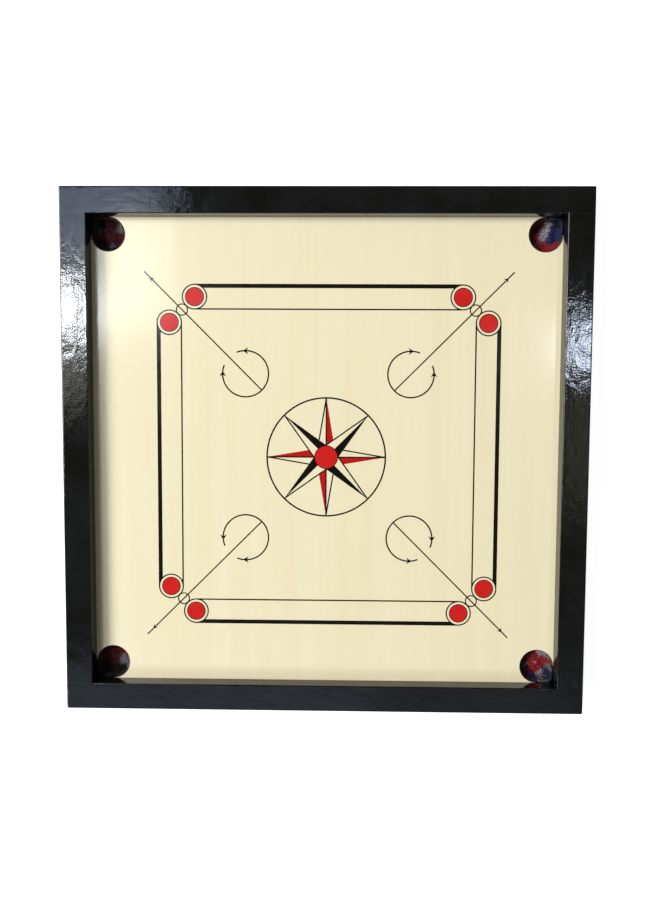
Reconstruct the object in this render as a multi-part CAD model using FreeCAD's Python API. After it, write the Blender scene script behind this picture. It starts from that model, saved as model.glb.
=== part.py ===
import FreeCAD
import Part

import math
import os

# Carrom board. Millimetres. X runs left to right, Y front to back, Z up.
# The origin is the middle of the board on the surface that it stands on.

# Frame
board_length = 660.0
board_depth = 660.0
rail_width = 33.5
rail_height = 50.0
lip_height = 22.0  # rail top above the playing surface
outer_edge_radius = 2.0
inner_edge_radius = 1.2

# Playing panel, held in a groove in all four rails
panel_thickness = 6.0
groove_depth = 8.0
groove_end_play = 0.5  # panel edge to groove bottom
groove_top_play = 0.15  # panel top to groove roof
pocket_radius = 21.25
pocket_wall_gap = 0.25  # pocket edge to the rail beside it
pocket_chamfer = 0.6

# Battens crossing under the panel
batten_width = 40.0
batten_foot_gap = 4.0  # batten bottom above the table

# Nails
nail_radius = 1.4
nail_head_radius = 3.0
nail_head_thickness = 1.2
nail_point = 5.0
corner_nail_length = 70.0
batten_nail_length = 65.0

# Pocket nets, with the cord along their hem and the tacks that hold them
net_thickness = 1.4
net_rail_gap = 0.2
net_floor_gap = 3.0
net_collar = 6.0  # straight height below the panel before the net rounds in
net_corner_radius = 4.0
net_top_gap = 1.0  # net's upper edge below the playing surface, in the corner
hem_width = 7.0
hem_cord_radius = 1.0
tack_shank_radius = 0.7
tack_head_radius = 2.0
tack_head_thickness = 0.8
tack_bite = 4.0  # depth in the wood
tack_side_gap = 0.3  # tack head to net wall
hem_tacks = 5
hem_tack_sweep = 152.0  # degrees from the first tack to the last
wall_tack_place = 9.0  # from the pocket's middle towards the corner

# Printed marks
ink_thickness = 0.1
print_shift_x = 3.5
print_shift_y = -4.6
base_line_far = 218.1  # outer edge of the thick line, from the print's middle
base_line_near = 185.6  # inner edge of the thin line
base_line_half = 169.6  # half the distance between the circles that end a line
thick_line = 5.2
thin_line = 1.8
base_ring_line = 1.6
base_dot_radius = 12.1
base_dot_line = 1.0
corner_ring_place = 185.6
corner_ring_radius = 7.8
corner_ring_line = 1.5
turn_place = 105.0
turn_radius = 29.3
turn_line = 1.8
turn_opening = 45.0  # degrees
turn_head_lead = 15.5  # degrees from the arc's end back to the arrow's point
turn_head_length = 7.0
turn_head_half = 4.4
turn_head_notch = 2.4
aim_line = 1.6
aim_line_end = 330.0  # along the diagonal, from the print's middle
aim_head_tip = 320.0
aim_head_length = 6.0
aim_head_half = 3.3
aim_head_notch = 2.2
star_shift_x = -2.0
star_shift_y = -0.7
star_ring_radius = 76.6
star_ring_line = 2.0
star_arm_half = 12.8  # half width of an arm where it starts
star_outline = 1.7
star_dot_radius = 15.2
star_dot_line = 1.0

# Levels and places that follow
opening_length = board_length - 2 * rail_width
opening_depth = board_depth - 2 * rail_width
panel_top = rail_height - lip_height
panel_bottom = panel_top - panel_thickness
pocket_reach = pocket_radius + pocket_wall_gap
net_radius = pocket_reach - net_rail_gap
batten_height = panel_bottom - batten_foot_gap
OVER = 1.0  # how far a cutting shape runs past a face

# The four pockets: name, side along X, side along Y, turn of the back-right one
POCKETS = [
    ("back_right", 1, 1, 0),
    ("back_left", -1, 1, 90),
    ("front_left", -1, -1, 180),
    ("front_right", 1, -1, 270),
]

Z_AXIS = FreeCAD.Vector(0, 0, 1)


def vector(x, y, z):
    return FreeCAD.Vector(x, y, z)


def block(x0, x1, y0, y1, z0, z1):
    return Part.makeBox(x1 - x0, y1 - y0, z1 - z0, vector(x0, y0, z0))


def centred_block(length, depth, z0, z1):
    return block(-length / 2, length / 2, -depth / 2, depth / 2, z0, z1)


def disc(x, y, radius, z0, z1):
    return Part.makeCylinder(radius, z1 - z0, vector(x, y, z0), Z_AXIS)


def prism(points, z0, z1):
    corners = [vector(x, y, z0) for x, y in points]
    face = Part.Face(Part.makePolygon(corners + corners[:1]))
    return face.extrude(vector(0, 0, z1 - z0))


def turned(shape, degrees, x=0.0, y=0.0):
    """A copy turned about the Z axis, then moved."""
    copy = shape.copy()
    copy.rotate(vector(0, 0, 0), Z_AXIS, degrees)
    copy.translate(vector(x, y, 0))
    return copy


def pocket_middle(side_x, side_y):
    return (side_x * (opening_length / 2 - pocket_reach), side_y * (opening_depth / 2 - pocket_reach))


def at_pockets(shape):
    """One copy of a back-right pocket shape, drawn about the pocket's middle, for each pocket."""
    return [turned(shape, angle, *pocket_middle(sx, sy)) for _, sx, sy, angle in POCKETS]


def edges_where(shape, test):
    return [edge for edge in shape.Edges if test(edge.BoundBox)]


# Nails and tacks


def nail(length, head_radius, head_thickness, shank_radius, point):
    """A nail along +Z whose head's outer face is at the origin."""
    head = Part.makeCylinder(head_radius, head_thickness)
    shank = Part.makeCylinder(shank_radius, length - point)
    tip = Part.makeCone(shank_radius, shank_radius / 10, point, vector(0, 0, length - point))
    return head.fuse([shank, tip]).removeSplitter()


def driven(shape, place, direction):
    """A nail drawn along +Z, set at a place with its shank running in a direction."""
    copy = shape.copy()
    turn = FreeCAD.Rotation(Z_AXIS, direction)
    copy.Placement = FreeCAD.Placement(place, turn)
    return copy


def corner_nails():
    """Two nails a corner, through the front and back rails into the ends of the side rails."""
    one = nail(corner_nail_length, nail_head_radius, nail_head_thickness, nail_radius, nail_point)
    side = board_length / 2 - rail_width / 2
    levels = [panel_bottom / 2, (panel_top + groove_top_play + rail_height) / 2]
    return [
        driven(one, vector(sx * side, sy * board_depth / 2, z), vector(0, -sy, 0))
        for sx in (-1, 1)
        for sy in (-1, 1)
        for z in levels
    ]


def batten_nails():
    """One nail through each rail into the end of the batten behind it."""
    one = nail(batten_nail_length, nail_head_radius, nail_head_thickness, nail_radius, nail_point)
    level = batten_foot_gap + batten_height / 2
    nails = []
    for side in (-1, 1):
        nails.append(driven(one, vector(side * board_length / 2, 0, level), vector(-side, 0, 0)))
        nails.append(driven(one, vector(0, side * board_depth / 2, level), vector(0, -side, 0)))
    return nails


def pocket_tacks():
    """The tacks of one pocket: a fan through the hem, and one in each rail by the corner."""
    length = tack_head_thickness + net_thickness + tack_bite
    point = tack_bite / 2
    one = nail(length, tack_head_radius, tack_head_thickness, tack_shank_radius, point)
    ring = net_radius + tack_side_gap + tack_head_radius
    hem_level = panel_bottom - net_thickness - tack_head_thickness
    tacks = []
    for index in range(hem_tacks):
        share = index / (hem_tacks - 1) - 0.5
        angle = math.radians(225 + hem_tack_sweep * share)
        place = vector(ring * math.cos(angle), ring * math.sin(angle), hem_level)
        tacks.append(driven(one, place, vector(0, 0, 1)))
    wall = net_radius - net_thickness - tack_head_thickness
    wall_level = panel_bottom - net_collar / 2
    tacks.append(driven(one, vector(wall, wall_tack_place, wall_level), vector(1, 0, 0)))
    tacks.append(driven(one, vector(wall_tack_place, wall, wall_level), vector(0, 1, 0)))
    return tacks


def net_tacks():
    return [tack for one in pocket_tacks() for tack in at_pockets(one)]


# Frame and panel


def frame_blank():
    """The whole frame before it is divided into rails: opening, rounded edges and panel groove."""
    frame = centred_block(board_length, board_depth, 0, rail_height)
    frame = frame.cut(centred_block(opening_length, opening_depth, -OVER, rail_height + OVER))
    half_x = board_length / 2
    half_y = board_depth / 2

    def outside(box):
        on_x = min(abs(abs(box.XMin) - half_x), abs(abs(box.XMax) - half_x)) < 0.01
        on_y = min(abs(abs(box.YMin) - half_y), abs(abs(box.YMax) - half_y)) < 0.01
        return on_x and on_y and box.ZMax > rail_height - 0.01

    def inside_top(box):
        within = box.XMax < opening_length / 2 + 0.01 and box.YMax < opening_depth / 2 + 0.01
        within = within and box.XMin > -opening_length / 2 - 0.01
        return within and box.ZMin > rail_height - 0.01

    frame = frame.makeFillet(outer_edge_radius, edges_where(frame, outside))
    frame = frame.makeFillet(inner_edge_radius, edges_where(frame, inside_top))
    groove = centred_block(
        opening_length + 2 * groove_depth,
        opening_depth + 2 * groove_depth,
        panel_bottom,
        panel_top + groove_top_play,
    )
    return frame.cut(groove)


def rails():
    """Front and back rails run the full length, and the side rails butt between them."""
    frame = frame_blank()
    reach = board_length + board_depth
    regions = {
        "rail_back": block(-reach, reach, opening_depth / 2, reach, -OVER, rail_height + OVER),
        "rail_front": block(-reach, reach, -reach, -opening_depth / 2, -OVER, rail_height + OVER),
    }
    between = (-opening_depth / 2, opening_depth / 2, -OVER, rail_height + OVER)
    regions["rail_left"] = block(-reach, 0, *between)
    regions["rail_right"] = block(0, reach, *between)
    fixings = corner_nails() + batten_nails() + net_tacks()
    return {name: frame.common(region).cut(fixings) for name, region in regions.items()}


def playing_panel():
    """The plywood sheet, with a round pocket at each corner that is open right into the corner."""
    spread = 2 * (groove_depth - groove_end_play)
    panel = centred_block(opening_length + spread, opening_depth + spread, panel_bottom, panel_top)
    corner = pocket_reach + groove_depth
    bore = disc(0, 0, pocket_radius, panel_bottom - OVER, panel_top + OVER)
    notch = block(0, corner, 0, corner, panel_bottom - OVER, panel_top + OVER)
    bevel = Part.makeCone(
        pocket_radius,
        pocket_radius + pocket_chamfer + OVER,
        pocket_chamfer + OVER,
        vector(0, 0, panel_top - pocket_chamfer),
    )
    cutter = bore.fuse([notch, bevel])
    return panel.cut(at_pockets(cutter) + net_tacks())


def battens():
    """Two battens under the panel, half lapped where they cross."""
    along = centred_block(opening_length, batten_width, batten_foot_gap, panel_bottom)
    across = centred_block(batten_width, opening_depth, batten_foot_gap, panel_bottom)
    middle = batten_foot_gap + batten_height / 2
    upper = centred_block(batten_width, batten_width, middle, panel_bottom)
    lower = centred_block(batten_width, batten_width, batten_foot_gap, middle)
    nails = batten_nails()
    return {"batten_long": along.cut([upper] + nails), "batten_cross": across.cut([lower] + nails)}


# Pocket nets


def mouth_outline(radius, corner_radius, z):
    """Round towards the playing surface and square, with a rounded corner, towards the rails."""
    straight = radius - corner_radius
    diagonal = straight + corner_radius * math.sqrt(0.5)
    round_side = Part.Arc(
        vector(0, radius, z),
        vector(-radius * math.sqrt(0.5), -radius * math.sqrt(0.5), z),
        vector(radius, 0, z),
    )
    corner = Part.Arc(
        vector(radius, straight, z),
        vector(diagonal, diagonal, z),
        vector(straight, radius, z),
    )
    edges = [
        round_side.toShape(),
        Part.makeLine(vector(radius, 0, z), vector(radius, straight, z)),
        corner.toShape(),
        Part.makeLine(vector(straight, radius, z), vector(0, radius, z)),
    ]
    return Part.Wire(edges)


def pouch_body(inset, top):
    """The net's shape, taken in all round by inset, up to a level."""
    floor = net_floor_gap + inset
    collar = panel_bottom - net_collar
    radius = net_radius - inset
    corner = net_corner_radius
    drop = collar - floor
    body = Part.makeLoft(
        [
            mouth_outline(radius, corner, collar),
            mouth_outline(radius * 0.93, corner * 2.0, collar - drop * 0.45),
            mouth_outline(radius * 0.78, corner * 2.6, collar - drop * 0.8),
            mouth_outline(radius * 0.5, corner * 2.0, floor),
        ],
        True,
        True,
    )
    straight = Part.Face(mouth_outline(radius, corner, collar)).extrude(vector(0, 0, top - collar))
    return body.fuse(straight)


def pocket_net():
    """A pouch with a hem under the panel, and an edge that stands up the rails in the corner."""
    net_top = panel_top - net_top_gap
    outer = pouch_body(0, panel_bottom)
    inner = pouch_body(net_thickness, panel_top + OVER)
    hem = disc(0, 0, net_radius + hem_width, panel_bottom - net_thickness, panel_bottom)
    reach = net_radius + hem_width + OVER
    within = block(-reach, net_radius, -reach, net_radius, 0, panel_bottom)
    edge = Part.Face(mouth_outline(net_radius, net_corner_radius, panel_bottom))
    edge = edge.extrude(vector(0, 0, net_top - panel_bottom))
    edge = edge.common(block(net_rail_gap, reach, net_rail_gap, reach, 0, panel_top))
    return outer.fuse([hem.common(within), edge]).cut(inner).removeSplitter()


def hem_cord():
    """The cord in the hem, an open arc from one rail to the other on the playing side."""
    ring = net_radius + hem_width - hem_cord_radius
    level = panel_bottom - net_thickness - hem_cord_radius
    limit = math.asin((net_radius - hem_cord_radius) / ring)
    start = math.pi - limit
    end = 1.5 * math.pi + limit
    middle = (start + end) / 2

    def on_ring(angle):
        return vector(ring * math.cos(angle), ring * math.sin(angle), level)

    path = Part.Wire([Part.Arc(on_ring(start), on_ring(middle), on_ring(end)).toShape()])
    direction = vector(-math.sin(start), math.cos(start), 0)
    section = Part.Wire([Part.makeCircle(hem_cord_radius, on_ring(start), direction)])
    return path.makePipeShell([section], True, False)


# Printed marks, drawn about the print's own middle

ink_low = panel_top
ink_high = panel_top + ink_thickness


def dot(x, y, radius):
    return disc(x, y, radius, ink_low, ink_high)


def ring(x, y, outer_radius, line):
    return dot(x, y, outer_radius).cut(disc(x, y, outer_radius - line, ink_low - OVER, ink_high + OVER))


def stroke(x0, y0, x1, y1, width):
    """A straight line of a width, with square ends."""
    length = math.hypot(x1 - x0, y1 - y0)
    across_x = (y0 - y1) / length * width / 2
    across_y = (x1 - x0) / length * width / 2
    points = [
        (x0 + across_x, y0 + across_y),
        (x0 - across_x, y0 - across_y),
        (x1 - across_x, y1 - across_y),
        (x1 + across_x, y1 + across_y),
    ]
    return prism(points, ink_low, ink_high)


def arrow_head(tip, angle, length, half, notch):
    """A barbed arrow head whose point is at tip, facing along an angle in radians."""
    back = (-math.cos(angle), -math.sin(angle))
    side = (-math.sin(angle), math.cos(angle))

    def place(behind, beside):
        return (tip[0] + back[0] * behind + side[0] * beside, tip[1] + back[1] * behind + side[1] * beside)

    points = [place(0, 0), place(length, half), place(length - notch, 0), place(length, -half)]
    return prism(points, ink_low, ink_high)


def placed(solids, x=0.0, y=0.0):
    """Marks moved from the print's own middle to where it was printed on the panel."""
    return [turned(solid, 0, print_shift_x + x, print_shift_y + y) for solid in solids]


def four_ways(shape):
    return [turned(shape, quarter * 90) for quarter in range(4)]


ring_middle = (base_line_far + base_line_near) / 2
ring_radius = (base_line_far - base_line_near) / 2


def base_lines():
    """For each side: a thick and a thin line between two circles, and the outlines of the dots."""
    far = ring_middle + ring_radius - thick_line / 2
    near = ring_middle - ring_radius + thin_line / 2
    bars = stroke(-base_line_half, far, base_line_half, far, thick_line)
    bars = bars.fuse(stroke(-base_line_half, near, base_line_half, near, thin_line))
    bars = bars.cut([dot(side * base_line_half, ring_middle, ring_radius) for side in (-1, 1)])
    rings = [ring(side * base_line_half, ring_middle, ring_radius, base_ring_line) for side in (-1, 1)]
    line = bars.fuse(rings)
    solids = four_ways(line)
    for side in (-1, 1):
        solids += four_ways(ring(side * base_line_half, ring_middle, base_dot_radius, base_dot_line))
    return placed(solids)


def base_dots():
    solids = []
    for side in (-1, 1):
        solids += four_ways(dot(side * base_line_half, ring_middle, base_dot_radius - base_dot_line))
    return placed(solids)


def turn_mark():
    """The open circle with an arrow near each end, about its own middle, open towards +X +Y."""
    half_gap = math.radians(turn_opening / 2)
    reach = turn_radius * 2
    wedge = prism(
        [
            (0, 0),
            (reach * math.cos(math.pi / 4 - half_gap), reach * math.sin(math.pi / 4 - half_gap)),
            (reach, reach),
            (reach * math.cos(math.pi / 4 + half_gap), reach * math.sin(math.pi / 4 + half_gap)),
        ],
        ink_low,
        ink_high,
    )
    shapes = [ring(0, 0, turn_radius + turn_line / 2, turn_line).cut(wedge)]
    for side in (-1, 1):
        angle = math.pi / 4 + side * (half_gap + math.radians(turn_head_lead))
        tip = (turn_radius * math.cos(angle), turn_radius * math.sin(angle))
        facing = angle - side * (math.pi / 2 - turn_head_length / turn_radius / 2)
        shapes.append(arrow_head(tip, facing, turn_head_length, turn_head_half, turn_head_notch))
    return shapes


def corner_marks():
    """For each corner: the diagonal arrow, the small circle on it and the open circle."""
    unit = math.sqrt(0.5)
    start = turn_place / unit - turn_radius
    aim = stroke(start * unit, start * unit, aim_line_end * unit, aim_line_end * unit, aim_line)
    tip = (aim_head_tip * unit, aim_head_tip * unit)
    head = arrow_head(tip, math.pi / 4, aim_head_length, aim_head_half, aim_head_notch)
    circle = ring(corner_ring_place, corner_ring_place, corner_ring_radius, corner_ring_line)
    circle = circle.cut([dot(base_line_half, ring_middle, ring_radius), dot(ring_middle, base_line_half, ring_radius)])
    turn = [turned(shape, 0, turn_place, turn_place) for shape in turn_mark()]
    return placed(four_ways(aim.fuse([head, circle] + turn)))


def on_star(degrees, radius):
    """A point of the star, the angle taken clockwise from the back."""
    angle = math.radians(degrees)
    return (radius * math.sin(angle), radius * math.cos(angle))


def edge_radius(degrees):
    """Distance from the middle to an arm's edge, that many degrees off the arm's axis."""
    angle = math.radians(degrees)
    return star_arm_half / (math.sin(angle) + star_arm_half * math.cos(angle) / star_tip)


star_tip = star_ring_radius - star_ring_line / 2
star_angles = [0, 90, 180, 270]


def star_black():
    """The circle, the dark halves of the diagonal arms and all outlines, in one shape."""
    shapes = [ring(0, 0, star_ring_radius, star_ring_line)]
    shoulder = edge_radius(22.5)
    root = edge_radius(45)
    for angle in star_angles:
        tip = on_star(angle, star_tip)
        shapes.append(stroke(*on_star(angle, star_dot_radius), *tip, star_outline))
        shapes.append(stroke(*on_star(angle - 22.5, shoulder), *tip, star_outline))
        diagonal = angle + 45
        tip = on_star(diagonal, star_tip)
        dark = [on_star(0, 0), tip, on_star(diagonal + 45, root)]
        shapes.append(prism(dark, ink_low, ink_high))
        shapes.append(stroke(*on_star(diagonal - 45, root), *tip, star_outline))
    shapes.append(dot(0, 0, star_dot_radius))
    limit = dot(0, 0, star_ring_radius)
    whole = shapes[0].fuse(shapes[1:]).common(limit)
    return whole.cut(dot(0, 0, star_dot_radius - star_dot_line)).removeSplitter()


def star_red(black):
    """The red halves of the straight arms, inside their outlines, and the middle dot."""
    shoulder = edge_radius(22.5)
    root = edge_radius(45)
    solids = [dot(0, 0, star_dot_radius - star_dot_line)]
    for angle in star_angles:
        points = [on_star(angle, star_tip), on_star(angle + 22.5, shoulder), on_star(angle, root)]
        pieces = prism(points, ink_low, ink_high).cut(black).Solids
        solids.append(max(pieces, key=lambda piece: piece.Volume))
    return solids


def write(name, shapes):
    solids = [solid for shape in shapes for solid in shape.Solids]
    whole = solids[0] if len(solids) == 1 else Part.makeCompound(solids)
    whole.exportStep("parts/" + name + ".step")
    volume = sum(solid.Volume for solid in solids)
    good = all(solid.isValid() for solid in solids)
    print(name, len(solids), "solids", round(volume, 1), "mm3", "valid" if good else "NOT VALID")


os.makedirs("parts", exist_ok=True)
for rail_name, rail in rails().items():
    write(rail_name, [rail])
write("playing_panel", [playing_panel()])
for batten_name, batten in battens().items():
    write(batten_name, [batten])
write("corner_nails", corner_nails())
write("batten_nails", batten_nails())
net = pocket_net().cut(pocket_tacks())
for (corner_name, _, _, _), shape in zip(POCKETS, at_pockets(net)):
    write("pocket_net_" + corner_name, [shape])
for (corner_name, _, _, _), shape in zip(POCKETS, at_pockets(hem_cord())):
    write("hem_cord_" + corner_name, [shape])
write("net_tacks", net_tacks())
write("ink_base_lines", base_lines())
write("ink_base_dots", base_dots())
write("ink_corner_marks", corner_marks())
black_star = star_black()
write("ink_star_black", placed([black_star], star_shift_x, star_shift_y))
write("ink_star_red", placed(star_red(black_star), star_shift_x, star_shift_y))
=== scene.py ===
import math

import bmesh
import bpy
from mathutils import Matrix, Vector, noise


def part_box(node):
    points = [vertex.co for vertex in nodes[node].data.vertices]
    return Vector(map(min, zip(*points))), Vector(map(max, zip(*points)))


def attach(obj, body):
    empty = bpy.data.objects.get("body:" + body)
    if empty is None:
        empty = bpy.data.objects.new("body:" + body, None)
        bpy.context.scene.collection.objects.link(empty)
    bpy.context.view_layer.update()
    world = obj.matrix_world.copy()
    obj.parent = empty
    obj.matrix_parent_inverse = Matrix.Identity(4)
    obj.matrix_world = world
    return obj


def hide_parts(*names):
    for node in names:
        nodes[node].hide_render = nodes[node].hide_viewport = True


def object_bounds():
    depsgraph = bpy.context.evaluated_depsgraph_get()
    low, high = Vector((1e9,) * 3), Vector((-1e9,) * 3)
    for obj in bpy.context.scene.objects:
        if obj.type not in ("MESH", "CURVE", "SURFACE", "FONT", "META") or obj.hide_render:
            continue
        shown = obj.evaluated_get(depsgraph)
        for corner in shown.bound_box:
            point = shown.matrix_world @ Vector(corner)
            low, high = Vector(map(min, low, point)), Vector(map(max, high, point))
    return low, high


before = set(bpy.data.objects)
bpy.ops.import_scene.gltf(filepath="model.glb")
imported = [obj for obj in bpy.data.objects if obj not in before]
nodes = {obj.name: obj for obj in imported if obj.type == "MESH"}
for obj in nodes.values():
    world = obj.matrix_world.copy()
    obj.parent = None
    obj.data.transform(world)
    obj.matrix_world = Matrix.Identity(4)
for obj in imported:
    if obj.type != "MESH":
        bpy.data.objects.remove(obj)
cad_low, cad_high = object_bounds()

# ---------------------------------------------------------------------------------------------
# Rails. Four softwood rails, butted and nailed at the corners and brushed with black gloss
# enamel. The long brush marks, the small dimples of the drying paint and a few hairline
# scratches follow each rail's length.

rail_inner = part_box("rail_right")[0].x
paint_black = (0.0035, 0.0042, 0.0042, 1)
paint_worn = (0.009, 0.0105, 0.0115, 1)
scratch_grey = (0.11, 0.12, 0.12, 1)
joint_black = (0.002, 0.002, 0.002, 1)
brush_mark_rate = 900.0  # marks in a metre across the rail
brush_mark_depth = 0.00004
brush_band_rate = 160.0
brush_band_depth = 0.00006
paint_dimple_rate = 420.0
paint_dimple_depth = 0.00009
paint_wave_rate = 75.0
paint_wave_depth = 0.00038
scratch_rate = 480.0
joint_line = 0.0003
joint_overlap = 0.00005


def new_material(name):
    """A material, its node tree and its shader."""
    made = bpy.data.materials.new(name)
    made.use_nodes = True
    shader = made.node_tree.nodes["Principled BSDF"]
    return made, made.node_tree, shader


def add(tree, kind, inputs=None, **settings):
    """One shader node's first output. An input is a number, a colour or another node's output."""
    made = tree.nodes.new(kind)
    for name, value in settings.items():
        setattr(made, name, value)
    for name, value in (inputs or {}).items():
        if isinstance(value, bpy.types.NodeSocket):
            tree.links.new(value, made.inputs[name])
        else:
            made.inputs[name].default_value = value
    return made.outputs[0]


def own_place(tree):
    return tree.nodes.new("ShaderNodeTexCoord").outputs["Object"]


def grain(tree, rates, detail=2.0, roughness=0.5, distortion=0.0):
    """Noise from 0 to 1 on the piece's own coordinates, its rates in a metre along X, Y and Z."""
    place = add(tree, "ShaderNodeMapping", {"Vector": own_place(tree), "Scale": rates})
    inputs = {"Vector": place, "Scale": 1.0, "Detail": detail, "Roughness": roughness}
    inputs["Distortion"] = distortion
    return add(tree, "ShaderNodeTexNoise", inputs)


def ranged(tree, value, low, high, to_low=0.0, to_high=1.0):
    """A value brought from one range to another and held there."""
    inputs = {"Value": value, "From Min": low, "From Max": high}
    inputs.update({"To Min": to_low, "To Max": to_high})
    return add(tree, "ShaderNodeMapRange", inputs)


def blended(tree, share, first, second, way="MIX"):
    inputs = {"Fac": share, "Color1": first, "Color2": second}
    return add(tree, "ShaderNodeMixRGB", inputs, blend_type=way)


def sums(tree, way, first, second=0.0):
    return add(tree, "ShaderNodeMath", {0: first, 1: second}, operation=way)


def bumped(tree, height, depth, under=None):
    inputs = {"Height": height, "Distance": depth}
    if under is not None:
        inputs["Normal"] = under
    return add(tree, "ShaderNodeBump", inputs)


def along_rail(along, length_rate, cross_rate):
    """Rates for a pattern drawn out along X or along Y."""
    if along == "x":
        return (length_rate, cross_rate, cross_rate)
    return (cross_rate, length_rate, cross_rate)


def rail_paint(along):
    made, tree, shader = new_material("black_enamel_along_" + along)
    marks = grain(tree, along_rail(along, 9.0, brush_mark_rate), 3.0, 0.6)
    bands = grain(tree, along_rail(along, 5.0, brush_band_rate), 2.0, 0.5)
    dimples = grain(tree, (paint_dimple_rate,) * 3, 2.0, 0.6)
    wave_rates = along_rail(along, paint_wave_rate * 0.6, paint_wave_rate)
    waves = grain(tree, wave_rates, 2.0, 0.5, 0.3)
    patches = grain(tree, (14.0, 14.0, 14.0), 4.0, 0.6)
    worn = ranged(tree, patches, 0.35, 0.75)
    base = blended(tree, worn, paint_black, paint_worn)
    # Scratches: the thin lines where a long noise crosses its middle value, in a few places only.
    hair = grain(tree, along_rail(along, 16.0, scratch_rate), 0.0, 0.5, 0.35)
    where = grain(tree, (22.0, 22.0, 22.0), 1.0)
    off_line = sums(tree, "ABSOLUTE", sums(tree, "SUBTRACT", hair, 0.5))
    thin = ranged(tree, off_line, 0.004, 0.0)
    seldom = ranged(tree, where, 0.66, 0.72)
    scratch = sums(tree, "MULTIPLY", thin, seldom)
    base = blended(tree, sums(tree, "MULTIPLY", scratch, 0.8), base, scratch_grey)
    # The hairline of the butt joint, where a long rail meets the end of a short one.
    place = add(tree, "ShaderNodeSeparateXYZ", {"Vector": own_place(tree)})
    across = sums(tree, "ABSOLUTE", place.node.outputs["Y"])
    off_joint = sums(tree, "ABSOLUTE", sums(tree, "SUBTRACT", across, rail_inner))
    along_x = sums(tree, "ABSOLUTE", place)
    beside = sums(tree, "GREATER_THAN", along_x, rail_inner - joint_overlap)
    gap = sums(tree, "MULTIPLY", ranged(tree, off_joint, joint_line, 0.0), beside)
    base = blended(tree, sums(tree, "MULTIPLY", gap, 0.8), base, joint_black)
    tree.links.new(base, shader.inputs["Base Color"])
    rough = ranged(tree, bands, 0.3, 0.7, 0.05, 0.09)
    rough = sums(tree, "ADD", rough, sums(tree, "MULTIPLY", worn, 0.04))
    rough = sums(tree, "ADD", rough, sums(tree, "MULTIPLY", gap, 0.35))
    tree.links.new(rough, shader.inputs["Roughness"])
    shader.inputs["IOR"].default_value = 1.5
    normal = bumped(tree, waves, paint_wave_depth)
    normal = bumped(tree, dimples, paint_dimple_depth, normal)
    normal = bumped(tree, bands, brush_band_depth, normal)
    normal = bumped(tree, marks, brush_mark_depth, normal)
    tree.links.new(normal, shader.inputs["Normal"])
    return made


def dress(node, made):
    """Gives a fixed piece its finish."""
    nodes[node].data.materials.clear()
    nodes[node].data.materials.append(made)


enamel_x = rail_paint("x")
enamel_y = rail_paint("y")
dress("rail_back", enamel_x)
dress("rail_front", enamel_x)
dress("rail_left", enamel_y)
dress("rail_right", enamel_y)

# ---------------------------------------------------------------------------------------------
# Playing panel. One sheet of thin plywood, pale veneer upwards with its grain front to back,
# under a clear gloss lacquer. The underside is bare, and the plies show in the pocket edges,
# darkened most of the way to near black.

panel_low, panel_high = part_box("playing_panel")
veneer_pale = (0.875, 0.81, 0.585, 1)
veneer_deep = (0.84, 0.76, 0.52, 1)
veneer_streak = (0.76, 0.66, 0.42, 1)
bare_pale = (0.66, 0.48, 0.29, 1)
bare_deep = (0.5, 0.33, 0.18, 1)
cross_ply = (0.3, 0.19, 0.1, 1)
glue_line = (0.16, 0.09, 0.05, 1)
# Near black that the ply edges are darkened most of the way towards.
edge_darkening = (0.012, 0.008, 0.006, 1)
edge_darkening_share = 0.75
ply_count = 5
lacquer_ripple_depth = 0.00012
veneer_grain_depth = 0.000008
bare_roughness = 0.75
lacquer_ior = 1.48


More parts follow.
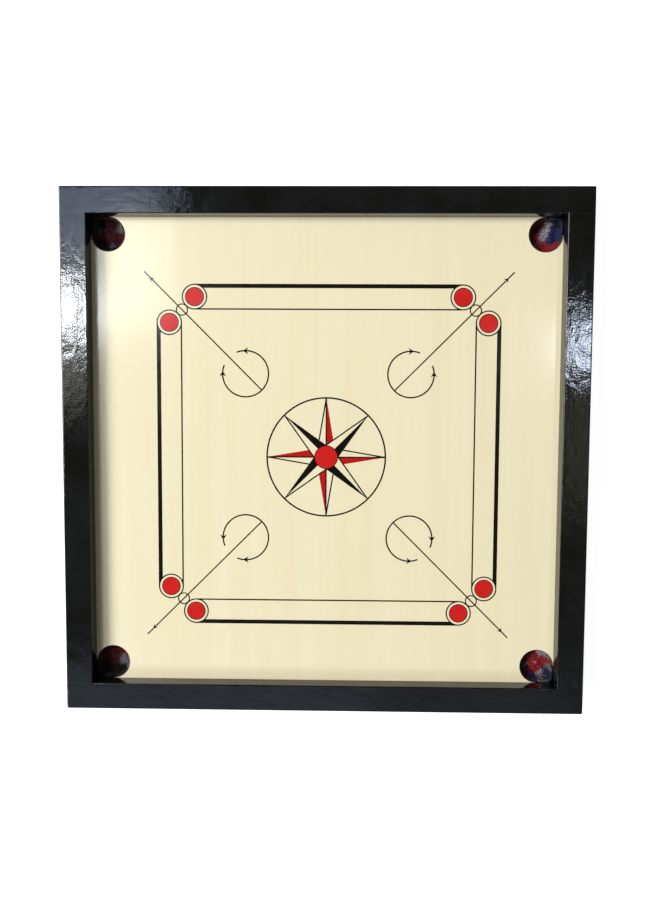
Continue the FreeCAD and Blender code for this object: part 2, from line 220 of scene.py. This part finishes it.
def panel_finish():
    made, tree, shader = new_material("lacquered_veneer")
    fine = grain(tree, (1400.0, 22.0, 40.0), 3.0, 0.6)
    broad = grain(tree, (60.0, 2.2, 10.0), 3.0, 0.55, 0.4)
    cloud = grain(tree, (5.0, 3.0, 3.0), 3.0, 0.5)
    pores = grain(tree, (900.0, 60.0, 60.0), 1.0, 0.5)
    top = blended(tree, ranged(tree, broad, 0.3, 0.75), veneer_pale, veneer_deep)
    top = blended(tree, ranged(tree, cloud, 0.4, 0.8, 0.0, 0.35), top, veneer_deep)
    top = blended(tree, ranged(tree, fine, 0.5, 0.8, 0.0, 0.16), top, veneer_streak)
    top = blended(tree, ranged(tree, pores, 0.72, 0.8, 0.0, 0.2), top, veneer_streak)
    bare = grain(tree, (240.0, 5.0, 30.0), 4.0, 0.6, 0.6)
    under = blended(tree, bare, bare_pale, bare_deep)
    place = own_place(tree)
    level = add(tree, "ShaderNodeSeparateXYZ", {"Vector": place}).node.outputs["Z"]
    share = ranged(tree, level, panel_low.z, panel_high.z, 0.0, float(ply_count))
    ply = sums(tree, "FRACT", share)
    seam = sums(tree, "LESS_THAN", ply, 0.09)
    odd = sums(tree, "GREATER_THAN", sums(tree, "MODULO", share, 2.0), 1.0)
    fibres = grain(tree, (500.0, 500.0, 2600.0), 2.0, 0.6)
    edge = blended(tree, fibres, bare_pale, bare_deep)
    edge = blended(tree, sums(tree, "MULTIPLY", odd, 0.5), edge, cross_ply)
    edge = blended(tree, seam, edge, glue_line)
    # The ply edges, pocket edges included, are darkened most of the way to near black.
    edge = blended(tree, edge_darkening_share, edge, edge_darkening)
    facing = tree.nodes.new("ShaderNodeNewGeometry").outputs["True Normal"]
    upward = add(tree, "ShaderNodeSeparateXYZ", {"Vector": facing}).node.outputs["Z"]
    flat = sums(tree, "GREATER_THAN", sums(tree, "ABSOLUTE", upward), 0.9)
    lacquered = sums(tree, "GREATER_THAN", upward, 0.9)
    base = blended(tree, flat, edge, under)
    base = blended(tree, lacquered, base, top)
    tree.links.new(base, shader.inputs["Base Color"])
    gloss = ranged(tree, cloud, 0.3, 0.7, 0.12, 0.17)
    rough = add(tree, "ShaderNodeMix", {0: lacquered, 2: bare_roughness, 3: gloss})
    tree.links.new(rough, shader.inputs["Roughness"])
    ripple = grain(tree, (35.0, 18.0, 20.0), 2.0, 0.5)
    normal = bumped(tree, ripple, lacquer_ripple_depth)
    normal = bumped(tree, fine, veneer_grain_depth, normal)
    tree.links.new(normal, shader.inputs["Normal"])
    shader.inputs["IOR"].default_value = lacquer_ior
    return made


dress("playing_panel", panel_finish())

# ---------------------------------------------------------------------------------------------
# Print. The base lines, dots, corner marks and star are screen printed on the veneer under the
# lacquer, so they share its gloss. The film is a little uneven where the mesh left less ink.

ink_dark = (0.0028, 0.0028, 0.002, 1)
ink_dark_thin = (0.009, 0.0085, 0.0065, 1)
ink_red = (0.6, 0.012, 0.011, 1)
ink_red_thin = (0.67, 0.03, 0.028, 1)
ink_red_deep = (0.46, 0.008, 0.009, 1)
star_low, star_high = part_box("ink_star_black")
star_middle = (star_low + star_high) / 2
star_dot_radius = 0.0147
ink_mesh_depth = 0.00001


def ink_finish(name, full, thin):
    """A printed film, and its tree and base colour for a finish that adds to it."""
    made, tree, shader = new_material(name)
    mesh = grain(tree, (2600.0, 2600.0, 100.0), 1.0, 0.5)
    cloud = grain(tree, (60.0, 60.0, 60.0), 3.0, 0.6)
    light = sums(tree, "MULTIPLY", ranged(tree, mesh, 0.4, 0.7), ranged(tree, cloud, 0.3, 0.8))
    base = blended(tree, light, full, thin)
    tree.links.new(base, shader.inputs["Base Color"])
    tree.links.new(ranged(tree, cloud, 0.3, 0.7, 0.14, 0.22), shader.inputs["Roughness"])
    tree.links.new(bumped(tree, mesh, ink_mesh_depth), shader.inputs["Normal"])
    shader.inputs["IOR"].default_value = lacquer_ior
    return made, tree, shader, base


black_ink = ink_finish("black_print", ink_dark, ink_dark_thin)[0]
red_ink = ink_finish("red_print", ink_red, ink_red_thin)[0]
star_red, tree, shader, base = ink_finish("red_print_star", ink_red, ink_red_thin)
place = own_place(tree)
offset = add(tree, "ShaderNodeVectorMath", {0: place, 1: star_middle}, operation="SUBTRACT")
flat_offset = add(tree, "ShaderNodeVectorMath", {0: offset, 1: (1, 1, 0)}, operation="MULTIPLY")
reach = add(tree, "ShaderNodeVectorMath", {0: flat_offset}, operation="LENGTH")
on_arm = sums(tree, "GREATER_THAN", reach.node.outputs["Value"], star_dot_radius)
tree.links.new(blended(tree, on_arm, base, ink_red_deep), shader.inputs["Base Color"])
dress("ink_base_lines", black_ink)
dress("ink_corner_marks", black_ink)
dress("ink_star_black", black_ink)
dress("ink_base_dots", red_ink)
dress("ink_star_red", star_red)

# ---------------------------------------------------------------------------------------------
# Battens. Two sawn softwood laths, half lapped where they cross and left unpainted. Growth
# rings run along each one, with the fine ridges that a bandsaw leaves across it.

pine_pale = (0.66, 0.46, 0.26, 1)
pine_deep = (0.42, 0.23, 0.1, 1)
saw_mark_rate = 420.0
saw_mark_depth = 0.00012
pine_fibre_depth = 0.00006


def raw_pine(along):
    made, tree, shader = new_material("sawn_pine_along_" + along)
    rings = grain(tree, along_rail(along, 3.5, 130.0), 3.0, 0.6, 0.9)
    rings = sums(tree, "FRACT", sums(tree, "MULTIPLY", rings, 5.0))
    fibres = grain(tree, along_rail(along, 30.0, 1500.0), 3.0, 0.6)
    base = blended(tree, ranged(tree, rings, 0.1, 0.95, 0.0, 0.75), pine_pale, pine_deep)
    base = blended(tree, ranged(tree, fibres, 0.4, 0.8, 0.0, 0.35), base, pine_deep)
    saw = grain(tree, along_rail(along, saw_mark_rate, 6.0), 1.0, 0.5)
    tree.links.new(base, shader.inputs["Base Color"])
    tree.links.new(ranged(tree, fibres, 0.3, 0.7, 0.7, 0.85), shader.inputs["Roughness"])
    normal = bumped(tree, saw, saw_mark_depth)
    normal = bumped(tree, fibres, pine_fibre_depth, normal)
    tree.links.new(normal, shader.inputs["Normal"])
    return made


dress("batten_long", raw_pine("x"))
dress("batten_cross", raw_pine("y"))

# ---------------------------------------------------------------------------------------------
# Nails and tacks. Plain drawn wire nails. The corner and batten nails were driven before the
# frame was painted, so their heads carry the same enamel, and the pocket tacks are bare.

steel_bright = (0.5, 0.5, 0.51, 1)
steel_dull = (0.26, 0.25, 0.24, 1)
drawn_mark_depth = 0.00003
nail_head_height = 0.0011
painted_from = cad_high.x - nail_head_height


def wire_steel(name, painted):
    """Bare wire steel, with enamel on the outermost part where the heads are painted."""
    made, tree, shader = new_material(name)
    drawn = grain(tree, (900.0, 900.0, 900.0), 3.0, 0.6)
    tarnish = grain(tree, (160.0, 160.0, 160.0), 3.0, 0.6)
    base = blended(tree, ranged(tree, tarnish, 0.4, 0.7), steel_bright, steel_dull)
    rough = ranged(tree, tarnish, 0.3, 0.7, 0.3, 0.5)
    shader.inputs["Metallic"].default_value = 1.0
    if painted:
        place = add(tree, "ShaderNodeSeparateXYZ", {"Vector": own_place(tree)}).node.outputs
        off_x, off_y = (sums(tree, "ABSOLUTE", place[axis]) for axis in "XY")
        paint = sums(tree, "GREATER_THAN", sums(tree, "MAXIMUM", off_x, off_y), painted_from)
        base = blended(tree, paint, base, paint_black)
        tree.links.new(sums(tree, "SUBTRACT", 1.0, paint), shader.inputs["Metallic"])
    tree.links.new(base, shader.inputs["Base Color"])
    tree.links.new(rough, shader.inputs["Roughness"])
    tree.links.new(bumped(tree, drawn, drawn_mark_depth), shader.inputs["Normal"])
    return made


painted_nail = wire_steel("painted_nail", True)
dress("corner_nails", painted_nail)
dress("batten_nails", painted_nail)
dress("net_tacks", wire_steel("tack_steel", False))

# ---------------------------------------------------------------------------------------------
# Pocket nets. Crocheted in the round from two-ply cotton in changing colours. The edge is held
# flat under the panel and stands up the rails in the corner, and the slack bag lies crumpled
# below the hole. The yarn colour is darkened towards each net's rim as painted shade.

net_radius = 0.0213
corner_squareness = 8  # power of the outline's curve: 2 is round, more is squarer
yarn_radius = 0.00085
stitch_width = 0.0036
stitch_ease = 1.04
fewest_stitches = 6
edge_level = 0.0263
hem_level = 0.0212
hem_reach = 0.0060
hem_rounds = 3
wall_room = 0.0012  # yarn middle to the net's outer face
crumple_rate = 75.0
crumple_reach = 0.0026
fine_crumple_rate = 170.0
fine_crumple_reach = 0.0012
crumple_gain = 1.6
crumple_seed = 7
lowest_yarn = 0.0040
loop_height = 0.576  # of the distance between two rounds
loop_lean = 0.13
loop_depth = 0.00045
points_a_stitch = 10
winding_radius = 0.0016
winding_flatness = 0.85
winding_pitch = 0.0036
winding_level = 0.0198
points_a_winding = 10
ring_sides = 8
ply_turn = 0.0034  # yarn length in which the two plies go once round
ply_swell = 0.17
fibre_rate = 5200.0
fibre_depth = 0.00008
stray_rate = 260.0  # how raggedly the yarn changes colour
stray_reach = 0.16
patch_falloff = 4.0
# Painted shade: the yarn colour is darkened towards each net's rim, down to this share.
painted_rim_shade = 0.3  # share of the colour that is left at the rim

MAROON = (0.1, 0.008, 0.01)
DARK = (0.016, 0.004, 0.005)
RED = (0.34, 0.008, 0.012)
PLUM = (0.17, 0.012, 0.035)
GREY = (0.25, 0.23, 0.26)
PALE = (0.38, 0.35, 0.4)
BLUE = (0.01, 0.014, 0.11)

# Where each colour of the changing yarn came to lie: places in net radii from the pocket's
# middle, X to the right and Y to the back, with a reach that widens or narrows the patch.
net_colours = {
    "back_left": [
        (0.42, 0.42, 0.28, GREY), (0.1, 0.1, 0.5, MAROON), (0.42, -0.5, 0.3, PLUM),
        (0.0, -0.55, 0.2, GREY), (-0.3, 0.1, 0.4, MAROON), (-0.4, -0.5, 0.4, DARK),
        (0.0, 0.7, 0.45, MAROON), (0.75, 0.0, 0.35, MAROON), (-0.72, 0.35, 0.14, GREY),
        (-0.8, 0.9, 0.5, DARK), (0.3, -0.85, 0.4, DARK), (-0.1, -0.2, 0.35, MAROON),
    ],
    "back_right": [
        (-0.65, 0.15, 0.4, MAROON), (-0.45, 0.1, 0.26, RED), (-0.2, 0.75, 0.4, MAROON),
        (0.02, 0.15, 0.26, PALE), (0.12, 0.42, 0.26, PALE), (0.33, 0.68, 0.25, PALE),
        (-0.08, -0.12, 0.24, GREY), (0.4, -0.15, 0.35, BLUE), (0.75, 0.3, 0.5, BLUE),
        (0.9, 0.85, 0.6, BLUE), (-0.08, -0.5, 0.3, RED), (0.3, -0.72, 0.35, RED),
        (-0.4, -0.52, 0.2, GREY), (-0.6, -0.5, 0.4, MAROON), (0.65, -0.5, 0.25, RED),
    ],
    "front_left": [
        (0.25, 0.5, 0.28, RED), (0.0, 0.35, 0.4, MAROON), (0.75, 0.2, 0.24, RED),
        (-0.4, 0.55, 0.28, PLUM), (0.43, -0.12, 0.34, PALE), (0.66, -0.32, 0.28, GREY),
        (-0.75, -0.5, 0.5, DARK), (-0.2, -0.1, 0.45, MAROON), (0.1, 0.8, 0.35, MAROON),
        (-0.2, -0.7, 0.5, DARK), (-0.6, 0.1, 0.45, MAROON), (0.5, -0.75, 0.4, DARK),
    ],
    "front_right": [
        (-0.7, 0.25, 0.45, MAROON), (-0.3, 0.6, 0.45, MAROON), (-0.2, 0.25, 0.3, RED),
        (0.15, 0.35, 0.26, RED), (0.5, 0.08, 0.38, RED), (0.05, -0.38, 0.34, RED),
        (0.1, 0.02, 0.13, PALE), (0.4, 0.64, 0.24, PALE), (0.72, 0.42, 0.2, GREY),
        (-0.5, -0.15, 0.2, GREY), (-0.45, -0.5, 0.35, MAROON), (0.42, -0.75, 0.24, PALE),
        (-0.15, -0.82, 0.28, BLUE), (0.75, -0.55, 0.2, BLUE), (0.65, -0.95, 0.22, PALE),
        (0.95, -0.85, 0.4, BLUE), (0.85, -0.2, 0.2, GREY), (-0.8, -0.2, 0.3, DARK),
    ],
}

# The bag from its edge to its middle: a share of the outline's radius and a level in metres.
bag_profile = [
    (0.955, 0.0178),
    (0.95, 0.0145),
    (0.92, 0.0112),
    (0.84, 0.0088),
    (0.72, 0.0078),
    (0.58, 0.0082),
    (0.43, 0.0094),
    (0.28, 0.0104),
    (0.13, 0.0106),
    (0.035, 0.0102),
]

# Without a seed, mathutils' noise starts from the clock and each run crumples the nets anew.
noise.seed_set(crumple_seed)


def eased(share):
    share = min(1.0, max(0.0, share))
    return share * share * (3 - 2 * share)


def outline(angle):
    """The bag's outline: round, and drawn out square into the corner from 0 to 90 degrees."""
    across, along = math.cos(angle), math.sin(angle)
    if across > 0 and along > 0:
        power = corner_squareness
        return net_radius / (across**power + along**power) ** (1 / power)
    return net_radius


def in_corner(angle):
    """1 where the edge stands up the rails, 0 where it lies under the panel."""
    degrees = math.degrees(angle) % 360
    if degrees > 180:
        degrees -= 360
    return eased((degrees - 1) / 9) * eased((89 - degrees) / 9)


def ring_place(index, angle):
    """The radius and level of one round of stitches at an angle, before the bag crumples."""
    full = outline(angle)
    if index >= hem_rounds:
        share, level = bag_profile[index - hem_rounds]
        return full * share - wall_room * share, level
    up = in_corner(angle)
    fold = 1 - index / (hem_rounds - 1)
    wall = net_radius - wall_room
    room = wall / max(math.cos(angle), math.sin(angle), 0.5)
    flat = min(full + hem_reach * fold - wall_room * (1 - fold), room)
    standing = full - wall_room
    level = hem_level + (edge_level - hem_level) * fold * up
    return flat + (standing - flat) * up, level


round_count = hem_rounds + len(bag_profile)


def bag_point(angle, position, seed):
    """A point of the crumpled bag, position counting the rounds from the edge."""
    low = min(int(position), round_count - 2)
    share = position - low
    first, second = ring_place(low, angle), ring_place(low + 1, angle)
    radius = first[0] + (second[0] - first[0]) * share
    level = first[1] + (second[1] - first[1]) * share
    point = Vector((radius * math.cos(angle), radius * math.sin(angle), level))
    slack = eased((position - 2.0) / 4.0)
    broad = noise.noise_vector(point * crumple_rate + Vector((seed, 0, 0)))
    fine = noise.noise_vector(point * fine_crumple_rate + Vector((0, seed, 0)))
    point += (broad * crumple_reach + fine * fine_crumple_reach) * slack * crumple_gain
    point.z = max(point.z, lowest_yarn)
    return point


def bag_normal(angle, position, seed):
    """The direction straight out of the crumpled bag, from points a little to each side."""
    turn, step = 0.03, 0.2
    across = bag_point(angle + turn, position, seed) - bag_point(angle - turn, position, seed)
    above = bag_point(angle, max(position - step, 0), seed)
    down = bag_point(angle, position + step, seed) - above
    return across.cross(down).normalized()


def stitch_round(index, seed):
    """The points of one closed round of loops, each hooked through the round above."""
    lead = index * 0.5
    radius = ring_place(index, math.radians(225))[0]
    length = 2 * math.pi * radius * stitch_ease
    stitches = max(fewest_stitches, round(length / stitch_width))
    points = []
    for stitch in range(stitches):
        for step in range(points_a_stitch):
            turn = 2 * math.pi * step / points_a_stitch
            place = stitch + lead + turn / (2 * math.pi) + loop_lean * math.sin(2 * turn)
            angle = 2 * math.pi * place / stitches
            position = index + loop_height * math.cos(turn)
            position = min(max(position, 0.0), round_count - 1.0)
            normal = bag_normal(angle, position, seed)
            point = bag_point(angle, position, seed)
            points.append(point + normal * loop_depth * math.cos(2 * turn))
    return points


def whipping(start, end):
    """The yarn wound over the hem and its cord, from one rail to the other."""
    ring = net_radius + hem_reach
    steps = round(ring * (end - start) / winding_pitch) * points_a_winding
    points = []
    for step in range(steps + 1):
        angle = start + (end - start) * step / steps
        turn = 2 * math.pi * step / points_a_winding
        radius = ring + winding_radius * winding_flatness * math.cos(turn)
        level = winding_level + winding_radius * math.sin(turn)
        points.append(Vector((radius * math.cos(angle), radius * math.sin(angle), level)))
    return points


def yarn_tube(name, strands, sides, radius):
    """One mesh of several strands, each given as its points and whether it closes on itself."""
    line = bpy.data.curves.new(name, "CURVE")
    line.dimensions = "3D"
    line.bevel_depth = radius
    line.bevel_resolution = sides // 2 - 2
    line.use_fill_caps = True
    for points, closed in strands:
        spline = line.splines.new("POLY")
        spline.points.add(len(points) - 1)
        for control, point in zip(spline.points, points):
            control.co = (*point, 1.0)
        spline.use_cyclic_u = closed
    holder = bpy.data.objects.new(name + "_line", line)
    bpy.context.scene.collection.objects.link(holder)
    mesh = bpy.data.meshes.new_from_object(holder)
    bpy.data.objects.remove(holder)
    bpy.data.curves.remove(line)
    mesh.name = name
    return mesh


def twist(mesh, strands, sides):
    """Swells each ring of a strand in two places that turn along it, like two plies."""
    first = 0
    for points, closed in strands:
        travelled = 0.0
        for index, middle in enumerate(points):
            if index:
                travelled += (middle - points[index - 1]).length
            for side in range(sides):
                vertex = mesh.vertices[first + index * sides + side]
                turn = 2 * math.pi * (2 * side / sides + travelled / ply_turn * 2)
                vertex.co = middle + (vertex.co - middle) * (1 + ply_swell * math.cos(turn))
        first += len(points) * sides


def placed(name, mesh, turn, middle):
    """A mesh drawn about a pocket's middle, turned and moved to its pocket, as an object."""
    mesh.transform(Matrix.Translation(middle) @ Matrix.Rotation(turn, 4, "Z"))
    made = bpy.data.objects.new(name, mesh)
    bpy.context.scene.collection.objects.link(made)
    mesh.shade_smooth()
    return made


def colour_and_shade_yarn(mesh, middle, patches, seed):
    """Writes each point's yarn colour from the patch that it lies in, with painted shade at the
    rim.
    """
    layer = mesh.attributes.new("yarn_colour_and_rim_shade", "FLOAT_COLOR", "POINT")
    values = []
    for vertex in mesh.vertices:
        place = (vertex.co - middle) / net_radius
        stray = noise.noise_vector(vertex.co * stray_rate + Vector((0, 0, seed)))
        place = place + stray * stray_reach
        total, mixed = 1e-9, Vector((0, 0, 0))
        for across, along, reach, colour in patches:
            away = (place.x - across) ** 2 + (place.y - along) ** 2
            near = math.exp(-patch_falloff * away / reach**2) * reach
            total += near
            mixed += Vector(colour) * near
        # Painted shade: each colour darkens towards the net's rim, down to the share set above.
        inside = eased((1.06 - math.hypot(place.x, place.y)) / 0.4)
        rim_shade_factor = painted_rim_shade + (1 - painted_rim_shade) * inside
        values.extend((*(mixed / total * rim_shade_factor), 1.0))
    layer.data.foreach_set("color", values)


def yarn_finish():
    made, tree, shader = new_material("changing_cotton_yarn")
    # The point colour carries the yarn's colours and a painted shade at the rim.
    colour = add(tree, "ShaderNodeAttribute", attribute_name="yarn_colour_and_rim_shade")
    fibres = grain(tree, (fibre_rate,) * 3, 2.0, 0.6)
    fleck = grain(tree, (900.0,) * 3, 2.0, 0.6)
    shade = ranged(tree, fleck, 0.3, 0.7, 0.6, 1.25)
    shade = sums(tree, "MULTIPLY", shade, ranged(tree, fibres, 0.3, 0.7, 0.75, 1.15))
    tree.links.new(blended(tree, 1.0, colour, shade, "MULTIPLY"), shader.inputs["Base Color"])
    tree.links.new(ranged(tree, fibres, 0.3, 0.7, 0.75, 0.95), shader.inputs["Roughness"])
    tree.links.new(bumped(tree, fibres, fibre_depth), shader.inputs["Normal"])
    shader.inputs["Sheen Weight"].default_value = 0.06
    shader.inputs["Sheen Roughness"].default_value = 0.4
    return made


pocket_turns = {"back_right": 0, "back_left": 90, "front_left": 180, "front_right": 270}
pocket_offset = rail_inner - 0.0215
whipping_end_room = 0.0018  # from the rail to the middle of the last winding


def pocket_middle(turn):
    return Matrix.Rotation(turn, 3, "Z") @ Vector((pocket_offset, pocket_offset, 0))


yarn_material = yarn_finish()
hem_turn = math.asin((net_radius - whipping_end_room) / (net_radius + hem_reach))
for number, (corner, degrees) in enumerate(pocket_turns.items()):
    turn = math.radians(degrees)
    middle = pocket_middle(turn)
    seed = 11.3 + 7.7 * number
    rounds = [(stitch_round(index, seed), True) for index in range(round_count)]
    strands = rounds + [(whipping(math.pi - hem_turn, 1.5 * math.pi + hem_turn), False)]
    net_mesh = yarn_tube("net_" + corner, strands, ring_sides, yarn_radius)
    twist(net_mesh, strands, ring_sides)
    net = placed("net_" + corner, net_mesh, turn, middle)
    colour_and_shade_yarn(net_mesh, middle, net_colours[corner], seed)
    net_mesh.materials.append(yarn_material)
    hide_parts("pocket_net_" + corner)
    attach(net, "root")

# ---------------------------------------------------------------------------------------------
# Hem cords. Three strands of undyed cotton twisted together, laid in each net's hem from one
# rail to the other and held there by the whipping.

cord_radius = 0.001
strand_radius = 0.00052
cord_turn = 0.0058  # cord length in which its strands go once round
cord_steps = 130
cord_low, cord_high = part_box("hem_cord_back_right")
cord_level = (cord_low.z + cord_high.z) / 2
cord_ring = net_radius + hem_reach
cotton_pale = (0.62, 0.58, 0.5, 1)
cotton_deep = (0.4, 0.36, 0.3, 1)
cotton_soiled = (0.24, 0.2, 0.16, 1)


def hem_cord_strand(start, end, lead):
    """One strand from rail to rail, its lead a share of a turn round the cord."""
    length = cord_ring * (end - start)
    points = []
    for step in range(cord_steps + 1):
        angle = start + (end - start) * step / cord_steps
        turn = 2 * math.pi * (length * step / cord_steps / cord_turn + lead)
        radius = cord_ring + (cord_radius - strand_radius) * math.cos(turn)
        level = cord_level + (cord_radius - strand_radius) * math.sin(turn)
        points.append(Vector((radius * math.cos(angle), radius * math.sin(angle), level)))
    return points


def cotton_finish():
    made, tree, shader = new_material("undyed_cotton_cord")
    fibres = grain(tree, (4200.0,) * 3, 2.0, 0.6)
    soiled = grain(tree, (180.0,) * 3, 2.0, 0.6)
    base = blended(tree, fibres, cotton_pale, cotton_deep)
    base = blended(tree, ranged(tree, soiled, 0.5, 0.8, 0.0, 0.5), base, cotton_soiled)
    tree.links.new(base, shader.inputs["Base Color"])
    tree.links.new(ranged(tree, fibres, 0.3, 0.7, 0.75, 0.95), shader.inputs["Roughness"])
    tree.links.new(bumped(tree, fibres, fibre_depth), shader.inputs["Normal"])
    return made


cord_material = cotton_finish()
cord_limit = math.asin((net_radius - cord_radius) / cord_ring)
for corner, degrees in pocket_turns.items():
    turn = math.radians(degrees)
    middle = pocket_middle(turn)
    start, end = math.pi - cord_limit, 1.5 * math.pi + cord_limit
    strands = [(hem_cord_strand(start, end, lead / 3), False) for lead in range(3)]
    cord_mesh = yarn_tube("twisted_hem_cord_" + corner, strands, ring_sides, strand_radius)
    cord = placed("twisted_hem_cord_" + corner, cord_mesh, turn, middle)
    cord_mesh.materials.append(cord_material)
    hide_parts("hem_cord_" + corner)
    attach(cord, "root")

# ---------------------------------------------------------------------------------------------
# Stage. A plain white floor, and a broad warm light from the left that lays the left rail's soft
# shadow on the panel. Level panels of light stand where the gloss paint and the lacquer mirror
# them to the camera: two bright windows, a blue glow at the back left, and dim ones in front.

floor_half = 6.0
floor_pale = (0.45, 0.45, 0.45, 1)
floor_deep = (0.42, 0.42, 0.42, 1)
floor_glow = 0.92
floor_shape = bmesh.new()
bmesh.ops.create_grid(floor_shape, x_segments=1, y_segments=1, size=floor_half)
floor_mesh = bpy.data.meshes.new("floor")
floor_shape.to_mesh(floor_mesh)
floor_shape.free()
floor = bpy.data.objects.new("floor", floor_mesh)
bpy.context.scene.collection.objects.link(floor)
floor_material, tree, shader = new_material("plain_floor")
floor_tint = blended(tree, grain(tree, (2.0, 2.0, 2.0)), floor_deep, floor_pale)
tree.links.new(floor_tint, shader.inputs["Base Color"])
shader.inputs["Roughness"].default_value = 0.8
shader.inputs["Specular IOR Level"].default_value = 0.0
# It glows everywhere but under the board, so that it stays plain white beside the black frame.
shader.inputs["Emission Color"].default_value = (1, 1, 1, 1)
place = add(tree, "ShaderNodeSeparateXYZ", {"Vector": own_place(tree)}).node.outputs
off_x, off_y = (sums(tree, "ABSOLUTE", place[axis]) for axis in "XY")
off_middle = sums(tree, "MAXIMUM", off_x, off_y)
glow = ranged(tree, off_middle, cad_high.x - 0.002, cad_high.x, 0.0, floor_glow)
tree.links.new(glow, shader.inputs["Emission Strength"])
floor_mesh.materials.append(floor_material)


def soft_light(name, place, size, radiance, tint, level=1.65):
    """A level panel over the board, its middle and size in X and Y, and how bright its face is."""
    lamp = bpy.data.lights.new(name, "AREA")
    lamp.shape = "RECTANGLE"
    lamp.size, lamp.size_y = size
    lamp.energy = radiance * math.pi * size[0] * size[1]
    lamp.color = tint
    made = bpy.data.objects.new(name, lamp)
    made.location = (*place, level)
    bpy.context.scene.collection.objects.link(made)


daylight = (0.9, 0.95, 1.0)
cold_daylight = (0.74, 0.82, 1.0)
sky = (0.62, 0.75, 1.0)
pale_sky = (0.8, 0.9, 1.0)
warm = (1.0, 0.96, 0.88)
yellow = (1.0, 0.98, 0.75)
soft_light("left_window", (-0.945, 0.335), (0.29, 0.15), 62.0, daylight)
soft_light("left_window_low", (-0.89, 0.15), (0.2, 0.19), 2.6, warm)
soft_light("left_window_side", (-0.64, 0.44), (0.14, 0.3), 8.0, daylight)
soft_light("right_window", (0.812, 0.228), (0.15, 0.11), 50.0, cold_daylight)
soft_light("right_window_low", (0.795, -0.09), (0.18, 0.4), 0.6, yellow)
for back in (0.53, 0.62, 0.71, 0.8):
    soft_light("corner_glow", (-0.8, back), (0.5, 0.04), 7.5, sky)
soft_light("front_glow", (-0.47, -1.0), (1.2, 0.4), 0.65, sky)
soft_light("front_glow_right", (0.45, -1.0), (0.6, 0.4), 0.35, sky)
soft_light("front_fill", (-2.1, -1.8), (1.2, 0.8), 14.0, pale_sky, level=2.2)
key = bpy.data.lights.new("key", "SUN")
key.energy = 2.6
key.angle = math.radians(24)
key.color = warm
key_holder = bpy.data.objects.new("key", key)
key_holder.rotation_euler = Vector((1, -0.14, -1.04)).to_track_quat("-Z", "Y").to_euler()
bpy.context.scene.collection.objects.link(key_holder)

# The room lights the board dimly and warmly, and is plain white where the camera sees it.
room_tint = (1.0, 0.88, 0.62, 1)
room_strength = 0.09
world = bpy.data.worlds.new("studio")
world.use_nodes = True
tree = world.node_tree
backdrop = tree.nodes["Background"]
seen = tree.nodes.new("ShaderNodeLightPath").outputs["Is Camera Ray"]
tree.links.new(blended(tree, seen, room_tint, (1, 1, 1, 1)), backdrop.inputs["Color"])
tree.links.new(ranged(tree, seen, 0.0, 1.0, room_strength, 1.0), backdrop.inputs["Strength"])
bpy.context.scene.world = world

lens = bpy.data.cameras.new("camera")
lens.lens = 33.28
lens.sensor_width = 36.0
lens.clip_start = 0.01
camera = bpy.data.objects.new("camera", lens)
camera.location = (0.0268, 0.0784, 1.088)
camera.rotation_euler = (math.radians(-4.013), math.radians(1.122), math.radians(0.305))
bpy.context.scene.collection.objects.link(camera)
bpy.context.scene.camera = camera
bpy.context.scene.view_settings.view_transform = "Standard"
